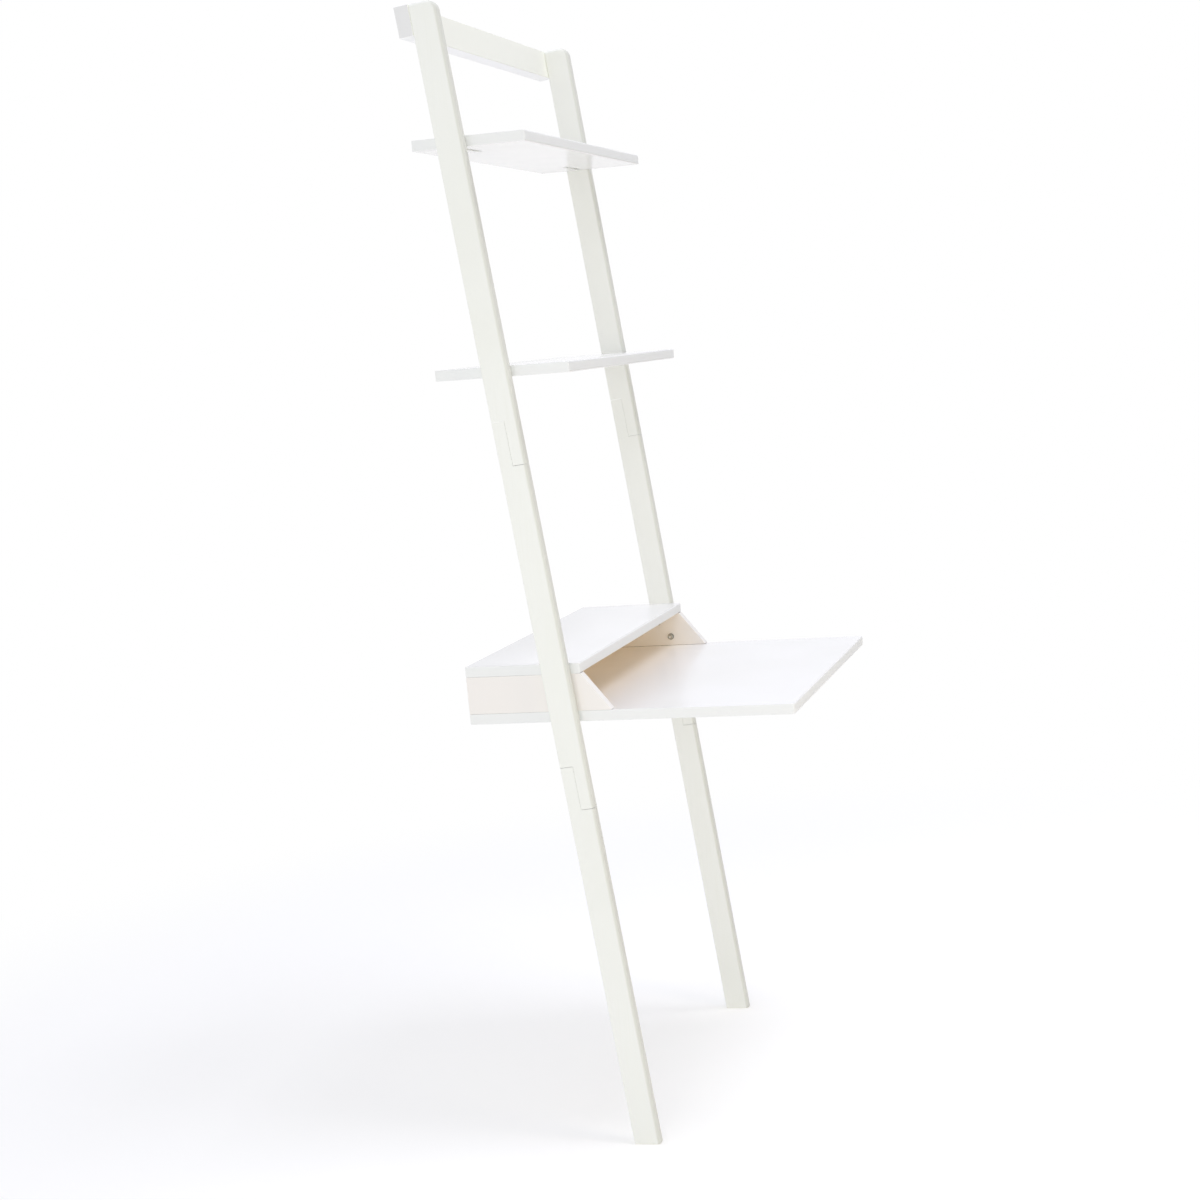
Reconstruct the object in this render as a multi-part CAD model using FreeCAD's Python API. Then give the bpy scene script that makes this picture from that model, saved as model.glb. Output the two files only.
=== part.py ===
import FreeCAD, Part
import math
import os

# A leaning ladder desk in millimetres. Two rails lean back against a wall and carry a desk board
# with a low cubby, and two shelves. +Z is up and the front faces -Y. The origin is on the floor,
# at mid width and mid depth, so the wall is the plane y = WALL_Y.

# Overall size
HEIGHT = 1930.4
WIDTH = 701.0
DEPTH = 566.4
WALL_Y = DEPTH / 2

# Leaning rails: each is three sections joined by two half-lap joints, whose centres lie a drop
# below the top of the desk board and of the lower shelf. Their front and top edges are rounded, and
# their rear edges and level-cut feet are only eased
LEAN = math.radians(6.06)
RAIL_WIDTH = 46.0
RAIL_THICKNESS = 21.0
RAIL_FRONT_RADIUS = 6.0
RAIL_REAR_RADIUS = 2.0
RAIL_TOP_RADIUS = 17.0
RAIL_FOOT_RADIUS = 1.5
LOWER_LAP_DROP = 131.5
UPPER_LAP_DROP = 128.8
LAP_LENGTH = 76.0
LAP_FACE_GAP = 0.3
LAP_END_GAP = 0.6

# Crossbar behind the rails' tops
BAR_HEIGHT = 50.0
BAR_THICKNESS = 25.0
BAR_EDGE_RADIUS = 1.0

# Boards
BOARD_THICKNESS = 18.0
BOARD_EDGE_RADIUS = 1.0
BOARD_FRONT_RADIUS = 3.0
UPPER_SHELF_DROP = 213.4
UPPER_SHELF_DEPTH = 195.0
SHELF_SPACING = 373.0
LOWER_SHELF_DEPTH = 233.5
DESK_TOP = 762.0
CUBBY_CLEAR_HEIGHT = 64.0
CUBBY_TOP_DEPTH = 204.0
CUBBY_FOOT_DEPTH = 253.5

# Housings: slanting rebates in the board ends that keep each board level on its rails
HOUSING_DEPTH = 2.0
HOUSING_REAR_GAP = 0.3
HOUSING_FRONT_GAP = 5.5

# M6 socket bolts and threaded inserts
BOLT_RADIUS = 3.0
BOLT_HEAD_RADIUS = 5.0
BOLT_HEAD_HEIGHT = 6.0
BOLT_HEAD_CHAMFER = 0.6
HEX_KEY_FLATS = 5.0
HEX_KEY_DEPTH = 3.2
SHANK_CLEARANCE = 0.3
HEAD_CLEARANCE = 0.5
HEAD_RECESS = 1.0
THREAD_GAP = 0.1
INSERT_RADIUS = 4.75
INSERT_LENGTH = 13.0
INSERT_FIT = 0.1
INSERT_END_ROOM = 1.0
BOLT_BITE = 11.5
WASHER_RADIUS = 6.25
WASHER_THICKNESS = 1.2

# Where the bolts sit
LAP_BOLT_SPACING = 40.0
BAR_BOLT_SPACING = 26.0
SHELF_LIP = 12.0
SHELF_BOLT_FORWARD = 7.5
KEY_GROOVE_LENGTH = 90.0
KEY_GROOVE_WIDTH = 11.0
CUBBY_FRONT_BOLT_RISE = 17.7
CUBBY_FRONT_BOLT_INSET = 9.5
CUBBY_REAR_BOLT_DROP = 16.0
CUBBY_REAR_BOLT_BACK = 7.0

# Glued dowels and the screws that hold the cubby down on the desk board
DOWEL_RADIUS = 4.0
DOWEL_LENGTH = 30.0
DOWEL_FIT = 0.1
DOWEL_SHORT_END = 10.0
DOWEL_WALL_INSET = 45.0
DOWEL_SPACING = 85.0
SCREW_RADIUS = 3.2
SCREW_LENGTH = 50.0
SCREW_HEAD_RADIUS = 5.0
SCREW_HEAD_HEIGHT = 3.5
SCREW_FIT = 0.1
SCREW_WALL_INSET = 60.0
SCREW_SPACING = 75.0
BACK_FIXING_SPACING = 420.0

# Heights of the boards' tops, and the laps' centres measured up the rail from its foot
UPPER_SHELF_TOP = HEIGHT - UPPER_SHELF_DROP
LOWER_SHELF_TOP = UPPER_SHELF_TOP - SHELF_SPACING
CUBBY_CEILING = DESK_TOP + CUBBY_CLEAR_HEIGHT
LOWER_LAP_CENTRE = (DESK_TOP - LOWER_LAP_DROP) / math.cos(LEAN)
UPPER_LAP_CENTRE = (LOWER_SHELF_TOP - UPPER_LAP_DROP) / math.cos(LEAN)

# Rail frame: down runs along the rail from its top rear corner, and forward runs square to it
TOP_REAR_Y = WALL_Y - BAR_THICKNESS * math.cos(LEAN)
TOP_REAR_Z = (
    HEIGHT
    - RAIL_TOP_RADIUS
    - (RAIL_WIDTH - RAIL_TOP_RADIUS) * math.sin(LEAN)
    + RAIL_TOP_RADIUS * math.cos(LEAN)
)
RAIL_LENGTH = TOP_REAR_Z / math.cos(LEAN)
RAIL_OUTER_X = WIDTH / 2
RAIL_INNER_X = RAIL_OUTER_X - RAIL_THICKNESS
RAIL_MID_X = RAIL_OUTER_X - RAIL_THICKNESS / 2
BOARD_END_X = RAIL_INNER_X + HOUSING_DEPTH
PANEL_INNER_X = BOARD_END_X - BOARD_THICKNESS
PANEL_MID_X = BOARD_END_X - BOARD_THICKNESS / 2
# How far a cutting shape runs past the piece that it cuts
OVERCUT = RAIL_WIDTH
# Two places nearer than this are taken as one when an edge is looked for
CLOSE = 0.01

X_AXIS = FreeCAD.Vector(1, 0, 0)
Z_AXIS = FreeCAD.Vector(0, 0, 1)
FORWARD = FreeCAD.Vector(0, -math.cos(LEAN), math.sin(LEAN))


def rail_point(x, down, forward):
    """A point given by its distance down the rail and forward from the rail's rear face."""
    return FreeCAD.Vector(
        x,
        TOP_REAR_Y - down * math.sin(LEAN) - forward * math.cos(LEAN),
        TOP_REAR_Z - down * math.cos(LEAN) + forward * math.sin(LEAN),
    )


def down_from_foot(rise):
    """The down distance of a place measured up the rail from its rear foot corner."""
    return RAIL_LENGTH - rise


def rail_front_y(height):
    """Where the rails' front face stands at a height above the floor."""
    rear_y = TOP_REAR_Y - (TOP_REAR_Z - height) * math.tan(LEAN)
    return rear_y - RAIL_WIDTH / math.cos(LEAN)


def rail_middle_y(height):
    """Where the rails' middle line stands at a height above the floor."""
    return rail_front_y(height) + RAIL_WIDTH / math.cos(LEAN) / 2


def extrude(points, x_from, x_to):
    """A prism along X whose section is the closed outline through the points."""
    outline = Part.makePolygon(points + points[:1])
    prism = Part.Face(outline).extrude(X_AXIS * (x_to - x_from))
    prism.translate(X_AXIS * (x_from - points[0].x))
    return prism


def rail_prism(corners, x_from, x_to):
    """A prism along X whose section is given as (down, forward) corners."""
    return extrude([rail_point(0, down, forward) for down, forward in corners], x_from, x_to)


def box(x_from, x_to, y_from, y_to, z_from, z_to):
    """A block between two values on each axis."""
    corner = FreeCAD.Vector(x_from, y_from, z_from)
    return Part.makeBox(x_to - x_from, y_to - y_from, z_to - z_from, corner)


def rod(radius, start, direction, length):
    """A cylinder from a point along a direction."""
    return Part.makeCylinder(radius, length, start, direction)


def soften(solid, radius, edges):
    """The solid with its chosen edges rounded."""
    return solid.makeFillet(radius, edges)


def mirrored(solid):
    """The same solid on the other side of the desk."""
    return solid.mirror(FreeCAD.Vector(0, 0, 0), X_AXIS)


def on_both_sides(name, right):
    """The right-hand piece and its mirror image, each as a named node."""
    return {f"{name}_right": right, f"{name}_left": mirrored(right)}


def edges_across(solid, point):
    """The solid's edges that run along X through a point of its section."""
    found = []
    for edge in solid.Edges:
        middle = edge.BoundBox.Center
        level = abs(middle.y - point.y) < CLOSE and abs(middle.z - point.z) < CLOSE
        if level and edge.BoundBox.XLength > 1:
            found.append(edge)
    return found


def edges_in_side_faces(solid, x_values):
    """The solid's edges that lie wholly in one of the planes x = value."""
    found = []
    for edge in solid.Edges:
        flat = edge.BoundBox.XLength < CLOSE
        if flat and any(abs(edge.BoundBox.XMin - x) < CLOSE for x in x_values):
            found.append(edge)
    return found


# Fasteners, each built along +Z with its seat at the origin


def hexagon(flats, z_from, z_to):
    """A hexagonal prism with the given distance across its flats."""
    corner = flats / math.sqrt(3)
    points = []
    for turn in range(6):
        angle = math.radians(60 * turn)
        points.append(FreeCAD.Vector(corner * math.cos(angle), corner * math.sin(angle), z_from))
    face = Part.Face(Part.makePolygon(points + points[:1]))
    return face.extrude(Z_AXIS * (z_to - z_from))


def socket_bolt(shank_length):
    """An M6 bolt with a round head below its seat and its shank above it."""
    head = Part.makeCylinder(
        BOLT_HEAD_RADIUS, BOLT_HEAD_HEIGHT, FreeCAD.Vector(0, 0, -BOLT_HEAD_HEIGHT)
    )
    crown = [edge for edge in head.Edges if edge.BoundBox.ZMax < CLOSE - BOLT_HEAD_HEIGHT]
    head = head.makeChamfer(BOLT_HEAD_CHAMFER, crown)
    bolt = head.fuse(Part.makeCylinder(BOLT_RADIUS, shank_length))
    socket = hexagon(HEX_KEY_FLATS, -BOLT_HEAD_HEIGHT - 1, HEX_KEY_DEPTH - BOLT_HEAD_HEIGHT)
    return bolt.removeSplitter().cut(socket)


def threaded_insert():
    """A threaded insert whose mouth is at the origin."""
    sleeve = Part.makeCylinder(INSERT_RADIUS, INSERT_LENGTH)
    return sleeve.cut(Part.makeCylinder(BOLT_RADIUS + THREAD_GAP, INSERT_LENGTH))


def washer():
    """A flat washer that stands behind the origin."""
    base = FreeCAD.Vector(0, 0, -WASHER_THICKNESS)
    disc = Part.makeCylinder(WASHER_RADIUS, WASHER_THICKNESS, base)
    return disc.cut(Part.makeCylinder(BOLT_RADIUS + SHANK_CLEARANCE, WASHER_THICKNESS, base))


def flat_head_screw():
    """A screw whose flat head is at the origin and whose shank rises from it."""
    head = Part.makeCone(SCREW_HEAD_RADIUS, SCREW_RADIUS, SCREW_HEAD_HEIGHT)
    return head.fuse(Part.makeCylinder(SCREW_RADIUS, SCREW_LENGTH)).removeSplitter()


def placed(shape, point, direction):
    """A copy of a fastener moved to a point and turned to a direction."""
    copy = shape.copy()
    copy.Placement = FreeCAD.Placement(point, FreeCAD.Rotation(Z_AXIS, direction))
    return copy


def insert_hole(mouth, direction):
    """The blind hole that takes a threaded insert and the bolt's tip."""
    depth = INSERT_LENGTH + INSERT_END_ROOM
    return rod(INSERT_RADIUS + INSERT_FIT, mouth, direction, depth)


def shank_hole(start, direction, length):
    """The hole that a bolt's shank passes through."""
    return rod(BOLT_RADIUS + SHANK_CLEARANCE, start, direction, length)


def head_recess(face, direction):
    """The counterbore that sinks a bolt's head below a face."""
    return rod(BOLT_HEAD_RADIUS + HEAD_CLEARANCE, face, direction, BOLT_HEAD_HEIGHT + HEAD_RECESS)


# Rails


def lap_ends(centre):
    """The lower and upper end of a lap joint, measured up the rail."""
    return centre - LAP_LENGTH / 2, centre + LAP_LENGTH / 2


def lap_bolt_points(centre):
    """The rear-face points of a lap joint's two bolts on the right-hand rail."""
    points = []
    for step in (-0.5, 0.5):
        down = down_from_foot(centre + step * LAP_BOLT_SPACING)
        points.append(rail_point(RAIL_MID_X, down, 0))
    return points


def bar_bolt_points():
    """The points on the rail's rear face where the crossbar's two right-hand bolts enter."""
    points = []
    for step in (-0.5, 0.5):
        down = BAR_HEIGHT / 2 + step * BAR_BOLT_SPACING
        points.append(rail_point(RAIL_MID_X, down, 0))
    return points


def runs_along_rear(edge):
    """Whether an edge lies in the plane of the rails' rear faces."""
    start = rail_point(0, 0, 0)
    return all(abs((vertex.Point - start).dot(FORWARD)) < CLOSE for vertex in edge.Vertexes)


def rail_blank():
    """The whole right-hand rail before it is parted: rounded along its edges, then cut level."""
    below = RAIL_LENGTH + OVERCUT
    corners = [(0, 0), (0, RAIL_WIDTH), (below, RAIL_WIDTH), (below, 0)]
    bar = rail_prism(corners, RAIL_INNER_X, RAIL_OUTER_X)
    bar = soften(bar, RAIL_TOP_RADIUS, edges_across(bar, rail_point(0, 0, RAIL_WIDTH)))
    sides = (RAIL_INNER_X, RAIL_OUTER_X)
    front = [edge for edge in edges_in_side_faces(bar, sides) if not runs_along_rear(edge)]
    bar = soften(bar, min(RAIL_FRONT_RADIUS, RAIL_THICKNESS / 3, RAIL_TOP_RADIUS * 0.9), front)
    rear = [edge for edge in edges_in_side_faces(bar, sides) if runs_along_rear(edge)]
    bar = soften(bar, min(RAIL_REAR_RADIUS, RAIL_THICKNESS / 3), rear)
    bar = bar.cut(box(0, WIDTH, -WALL_Y, WALL_Y, -2 * OVERCUT, 0))
    foot = [edge for edge in bar.Edges if edge.BoundBox.ZMax < CLOSE]
    return soften(bar, RAIL_FOOT_RADIUS, foot)


def section_region(lower_lap, upper_lap):
    """The part of the rail that one section takes, as a prism cut along its lap joints."""
    rear = -OVERCUT
    front = RAIL_WIDTH + OVERCUT
    rear_face = (RAIL_WIDTH - LAP_FACE_GAP) / 2
    front_face = (RAIL_WIDTH + LAP_FACE_GAP) / 2
    if upper_lap is None:
        corners = [(-OVERCUT, rear), (-OVERCUT, front)]
    else:
        low, high = lap_ends(upper_lap)
        tip = down_from_foot(high - LAP_END_GAP)
        shoulder = down_from_foot(low)
        corners = [(tip, rear), (tip, rear_face), (shoulder, rear_face), (shoulder, front)]
    if lower_lap is None:
        below = RAIL_LENGTH + OVERCUT
        corners += [(below, front), (below, rear)]
    else:
        low, high = lap_ends(lower_lap)
        tip = down_from_foot(low + LAP_END_GAP)
        shoulder = down_from_foot(high)
        corners += [(tip, front), (tip, front_face), (shoulder, front_face), (shoulder, rear)]
    return rail_prism(corners, RAIL_INNER_X - OVERCUT, RAIL_OUTER_X + OVERCUT)


def lap_holes(centre):
    """The holes for a lap joint's bolts: sunk from the rear tongue, blind in the front one."""
    through = (RAIL_WIDTH - LAP_FACE_GAP) / 2
    mouth = (RAIL_WIDTH + LAP_FACE_GAP) / 2
    rear_holes = []
    front_holes = []
    for point in lap_bolt_points(centre):
        rear_holes.append(shank_hole(point, FORWARD, through))
        rear_holes.append(head_recess(point, FORWARD))
        front_holes.append(insert_hole(point + FORWARD * mouth, FORWARD))
    return rear_holes, front_holes


def level_insert_hole(y, height):
    """The blind hole for an insert in the right-hand rail's inner face."""
    return insert_hole(FreeCAD.Vector(RAIL_INNER_X, y, height), X_AXIS)


def rail_sections():
    """The three sections of the right-hand rail and of its mirror image."""
    blank = rail_blank()
    lower_rear, lower_front = lap_holes(LOWER_LAP_CENTRE)
    upper_rear, upper_front = lap_holes(UPPER_LAP_CENTRE)
    bar_holes = [insert_hole(point, FORWARD) for point in bar_bolt_points()]
    shelf_holes = [level_insert_hole(y, height) for y, height in shelf_bolt_places()]
    cubby_holes = [level_insert_hole(y, height) for y, height in cubby_bolt_places()]
    lower = blank.common(section_region(None, LOWER_LAP_CENTRE)).cut(lower_rear)
    middle = blank.common(section_region(LOWER_LAP_CENTRE, UPPER_LAP_CENTRE))
    middle = middle.cut(lower_front + upper_rear + cubby_holes)
    upper = blank.common(section_region(UPPER_LAP_CENTRE, None))
    upper = upper.cut(upper_front + bar_holes + shelf_holes)
    nodes = {}
    nodes.update(on_both_sides("rail_lower", lower))
    nodes.update(on_both_sides("rail_middle", middle))
    nodes.update(on_both_sides("rail_upper", upper))
    return nodes


def lap_hardware(name, centre):
    """The bolts and inserts of one lap joint on each rail."""
    mouth = (RAIL_WIDTH + LAP_FACE_GAP) / 2
    seat = BOLT_HEAD_HEIGHT + HEAD_RECESS
    bolt = socket_bolt(mouth - seat + BOLT_BITE)
    bolts = []
    inserts = []
    for point in lap_bolt_points(centre):
        bolts.append(placed(bolt, point + FORWARD * seat, FORWARD))
        inserts.append(placed(threaded_insert(), point + FORWARD * mouth, FORWARD))
    nodes = on_both_sides(f"{name}_lap_bolts", Part.makeCompound(bolts))
    nodes.update(on_both_sides(f"{name}_lap_inserts", Part.makeCompound(inserts)))
    return nodes


# Crossbar


def crossbar():
    """The bar across the rails' tops, square to their lean, with its sunk bolt holes."""
    corners = [(0, 0), (0, -BAR_THICKNESS), (BAR_HEIGHT, -BAR_THICKNESS), (BAR_HEIGHT, 0)]
    bar = rail_prism(corners, -RAIL_OUTER_X, RAIL_OUTER_X)
    bar = soften(bar, BAR_EDGE_RADIUS, bar.Edges)
    for point in bar_bolt_points():
        rear = point - FORWARD * BAR_THICKNESS
        hole = shank_hole(rear, FORWARD, BAR_THICKNESS).fuse(head_recess(rear, FORWARD))
        bar = bar.cut([hole, mirrored(hole)])
    return bar


def crossbar_hardware():
    """The crossbar's bolts and their inserts in the rails."""
    seat = BOLT_HEAD_HEIGHT + HEAD_RECESS - BAR_THICKNESS
    bolt = socket_bolt(BOLT_BITE - seat)
    bolts = []
    inserts = []
    for point in bar_bolt_points():
        bolts.append(placed(bolt, point + FORWARD * seat, FORWARD))
        inserts.append(placed(threaded_insert(), point, FORWARD))
    nodes = on_both_sides("crossbar_bolts", Part.makeCompound(bolts))
    nodes.update(on_both_sides("crossbar_inserts", Part.makeCompound(inserts)))
    return nodes


# Boards and their hardware


def shelf_bolt_place(top):
    """The y and height of the bolt that holds a shelf whose top face is at a height."""
    height = top - BOARD_THICKNESS + BOLT_HEAD_RADIUS + HEAD_CLEARANCE
    return rail_middle_y(height) - SHELF_BOLT_FORWARD, height


def shelf_bolt_places():
    """The bolts' places for both shelves."""
    return [shelf_bolt_place(UPPER_SHELF_TOP), shelf_bolt_place(LOWER_SHELF_TOP)]


def cubby_bolt_places():
    """The y and height of a cubby side panel's front bolt and of its rear one, under the top."""
    front_height = DESK_TOP + CUBBY_FRONT_BOLT_RISE
    rear_height = CUBBY_CEILING - CUBBY_REAR_BOLT_DROP
    front = (rail_front_y(front_height) + CUBBY_FRONT_BOLT_INSET, front_height)
    rear = (rail_middle_y(rear_height) + CUBBY_REAR_BOLT_BACK, rear_height)
    return [front, rear]


def with_housings(board):
    """The board with a slanting rebate for the rail in each of its ends."""
    rear = -HOUSING_REAR_GAP
    front = RAIL_WIDTH + HOUSING_FRONT_GAP
    ends = [(-OVERCUT, rear), (-OVERCUT, front)]
    ends += [(RAIL_LENGTH + OVERCUT, front), (RAIL_LENGTH + OVERCUT, rear)]
    rebate = rail_prism(ends, RAIL_INNER_X, RAIL_OUTER_X)
    return board.cut([rebate, mirrored(rebate)])


def flat_board(half_length, depth, top):
    """A level board whose rear edge stands at the wall, rounded at its front and eased elsewhere."""
    bottom = top - BOARD_THICKNESS
    front = WALL_Y - depth
    radius = min(BOARD_FRONT_RADIUS, BOARD_THICKNESS / 3)
    board = box(-half_length, half_length, front, WALL_Y, bottom, top)
    board = soften(board, radius, [edge for edge in board.Edges if edge.BoundBox.YMax < front + CLOSE])
    behind = front + radius + CLOSE
    return soften(board, BOARD_EDGE_RADIUS, [edge for edge in board.Edges if edge.BoundBox.YMax > behind])


def key_groove(y, bottom):
    """The groove under a shelf that takes a bolt's head and the key that turns it."""
    outer = RAIL_INNER_X - SHELF_LIP
    inner = outer - KEY_GROOVE_LENGTH
    half = KEY_GROOVE_WIDTH / 2
    roof = bottom + 2 * (BOLT_HEAD_RADIUS + HEAD_CLEARANCE)
    slot = box(inner + half, outer, y - half, y + half, bottom - OVERCUT, roof)
    round_end = Part.makeCylinder(
        half, roof - bottom + OVERCUT, FreeCAD.Vector(inner + half, y, bottom - OVERCUT)
    )
    return slot.fuse(round_end)


def shelf(top, depth):
    """A shelf board with its rail housings, key grooves and bolt holes."""
    y, height = shelf_bolt_place(top)
    board = with_housings(flat_board(BOARD_END_X, depth, top))
    groove = key_groove(y, top - BOARD_THICKNESS)
    start = FreeCAD.Vector(RAIL_INNER_X - SHELF_LIP, y, height)
    hole = shank_hole(start, X_AXIS, SHELF_LIP + HOUSING_DEPTH)
    cuts = groove.fuse(hole)
    return board.cut([cuts, mirrored(cuts)])


def shelf_hardware(name, top):
    """The bolt and the insert at each end of a shelf."""
    y, height = shelf_bolt_place(top)
    seat = FreeCAD.Vector(RAIL_INNER_X - SHELF_LIP, y, height)
    mouth = FreeCAD.Vector(RAIL_INNER_X, y, height)
    nodes = on_both_sides(f"{name}_bolt", placed(socket_bolt(SHELF_LIP + BOLT_BITE), seat, X_AXIS))
    nodes.update(on_both_sides(f"{name}_insert", placed(threaded_insert(), mouth, X_AXIS)))
    return nodes


def side_dowel_points():
    """The dowels' places between the cubby's top and its right-hand side panel."""
    rear = WALL_Y - DOWEL_WALL_INSET
    return [FreeCAD.Vector(PANEL_MID_X, rear - step * DOWEL_SPACING, CUBBY_CEILING) for step in (0, 1)]


def back_dowel_points():
    """The dowels' places between the cubby's top and its back panel."""
    y = WALL_Y - BOARD_THICKNESS / 2
    return [FreeCAD.Vector(side * BACK_FIXING_SPACING / 2, y, CUBBY_CEILING) for side in (-1, 1)]


def side_screw_points():
    """The screws' places under the desk board for its right-hand side panel."""
    rear = WALL_Y - SCREW_WALL_INSET
    under = DESK_TOP - BOARD_THICKNESS
    return [FreeCAD.Vector(PANEL_MID_X, rear - step * SCREW_SPACING, under) for step in (0, 1)]


def back_screw_points():
    """The screws' places under the desk board for the cubby's back panel."""
    y = WALL_Y - BOARD_THICKNESS / 2
    under = DESK_TOP - BOARD_THICKNESS
    return [FreeCAD.Vector(side * BACK_FIXING_SPACING / 2, y, under) for side in (-1, 1)]


def dowels(points, allowance):
    """Dowels at points of a joint, with their short ends upwards."""
    pegs = []
    for point in points:
        base = point - Z_AXIS * (DOWEL_LENGTH - DOWEL_SHORT_END + allowance)
        pegs.append(rod(DOWEL_RADIUS + allowance, base, Z_AXIS, DOWEL_LENGTH + 2 * allowance))
    return pegs


def screw_holes(points):
    """The countersunk holes that the flat-head screws fill."""
    holes = []
    for point in points:
        holes.append(rod(SCREW_RADIUS + SCREW_FIT, point, Z_AXIS, SCREW_LENGTH + SCREW_FIT))
        wide = SCREW_HEAD_RADIUS + SCREW_FIT
        narrow = SCREW_RADIUS + SCREW_FIT
        holes.append(Part.makeCone(wide, narrow, SCREW_HEAD_HEIGHT, point, Z_AXIS))
    return holes


def both_sides_of(points):
    """Points on the right and their mirror images on the left."""
    return points + [FreeCAD.Vector(-point.x, point.y, point.z) for point in points]


def cubby_top():
    """The cubby's top board, drilled from below for its dowels."""
    board = with_housings(flat_board(BOARD_END_X, CUBBY_TOP_DEPTH, CUBBY_CEILING + BOARD_THICKNESS))
    return board.cut(dowels(both_sides_of(side_dowel_points()) + back_dowel_points(), DOWEL_FIT))


def cubby_side():
    """The right-hand side panel, whose front edge slopes out towards the desk board."""
    outline = [
        FreeCAD.Vector(0, WALL_Y, DESK_TOP),
        FreeCAD.Vector(0, WALL_Y, CUBBY_CEILING),
        FreeCAD.Vector(0, WALL_Y - CUBBY_TOP_DEPTH, CUBBY_CEILING),
        FreeCAD.Vector(0, WALL_Y - CUBBY_FOOT_DEPTH, DESK_TOP),
    ]
    panel = extrude(outline, PANEL_INNER_X, BOARD_END_X)
    panel = with_housings(soften(panel, BOARD_EDGE_RADIUS, panel.Edges))
    cuts = dowels(side_dowel_points(), DOWEL_FIT) + screw_holes(side_screw_points())
    for y, height in cubby_bolt_places():
        start = FreeCAD.Vector(PANEL_INNER_X, y, height)
        cuts.append(shank_hole(start, X_AXIS, BOARD_THICKNESS))
    return panel.cut(cuts)


def cubby_back():
    """The back panel between the side panels, flush with the wall."""
    front = WALL_Y - BOARD_THICKNESS
    panel = box(-PANEL_INNER_X, PANEL_INNER_X, front, WALL_Y, DESK_TOP, CUBBY_CEILING)
    panel = soften(panel, BOARD_EDGE_RADIUS, panel.Edges)
    return panel.cut(dowels(back_dowel_points(), DOWEL_FIT) + screw_holes(back_screw_points()))


def desk_board():
    """The desk board, countersunk from below for the cubby's screws."""
    board = with_housings(flat_board(BOARD_END_X, DEPTH, DESK_TOP))
    return board.cut(screw_holes(both_sides_of(side_screw_points()) + back_screw_points()))


def cubby_hardware():
    """The bolts, washers and inserts that hold the cubby's side panels to the rails."""
    grip = RAIL_INNER_X - PANEL_INNER_X + WASHER_THICKNESS
    bolts = []
    washers = []
    inserts = []
    for y, height in cubby_bolt_places():
        face = FreeCAD.Vector(PANEL_INNER_X, y, height)
        mouth = FreeCAD.Vector(RAIL_INNER_X, y, height)
        bolts.append(placed(socket_bolt(grip + BOLT_BITE), face - X_AXIS * WASHER_THICKNESS, X_AXIS))
        washers.append(placed(washer(), face, X_AXIS))
        inserts.append(placed(threaded_insert(), mouth, X_AXIS))
    nodes = on_both_sides("cubby_bolts", Part.makeCompound(bolts))
    nodes.update(on_both_sides("cubby_washers", Part.makeCompound(washers)))
    nodes.update(on_both_sides("cubby_inserts", Part.makeCompound(inserts)))
    return nodes


def cubby_joinery():
    """The dowels under the cubby's top and the screws up through the desk board."""
    nodes = on_both_sides("cubby_side_dowels", Part.makeCompound(dowels(side_dowel_points(), 0)))
    nodes["cubby_back_dowels"] = Part.makeCompound(dowels(back_dowel_points(), 0))
    side_screws = [placed(flat_head_screw(), point, Z_AXIS) for point in side_screw_points()]
    nodes.update(on_both_sides("cubby_side_screws", Part.makeCompound(side_screws)))
    back_screws = [placed(flat_head_screw(), point, Z_AXIS) for point in back_screw_points()]
    nodes["cubby_back_screws"] = Part.makeCompound(back_screws)
    return nodes


def build():
    """Every piece of the desk by its node name."""
    nodes = rail_sections()
    nodes.update(lap_hardware("lower", LOWER_LAP_CENTRE))
    nodes.update(lap_hardware("upper", UPPER_LAP_CENTRE))
    nodes["crossbar"] = crossbar()
    nodes.update(crossbar_hardware())
    nodes["upper_shelf"] = shelf(UPPER_SHELF_TOP, UPPER_SHELF_DEPTH)
    nodes["lower_shelf"] = shelf(LOWER_SHELF_TOP, LOWER_SHELF_DEPTH)
    nodes.update(shelf_hardware("upper_shelf", UPPER_SHELF_TOP))
    nodes.update(shelf_hardware("lower_shelf", LOWER_SHELF_TOP))
    nodes["desk_board"] = desk_board()
    nodes["cubby_top"] = cubby_top()
    nodes["cubby_back"] = cubby_back()
    nodes.update(on_both_sides("cubby_side", cubby_side()))
    nodes.update(cubby_hardware())
    nodes.update(cubby_joinery())
    return nodes


os.makedirs("parts", exist_ok=True)
for node, shape in build().items():
    shape.exportStep(f"parts/{node}.step")
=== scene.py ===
"""Visual model of a ladder desk: leaning lapped rails, a crossbar, shelves, and a desk board with a cubby.

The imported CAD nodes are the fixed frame. This script gives every node the finish of its real material, and
sets the studio and the camera round them. All lengths are metres unless a name ends in _mm.
"""

import logging
import math
from collections.abc import Mapping
from collections.abc import Sequence
from dataclasses import dataclass
from dataclasses import replace
from enum import Enum

import bpy
import numpy as np
from mathutils import Matrix
from mathutils import Vector

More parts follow.
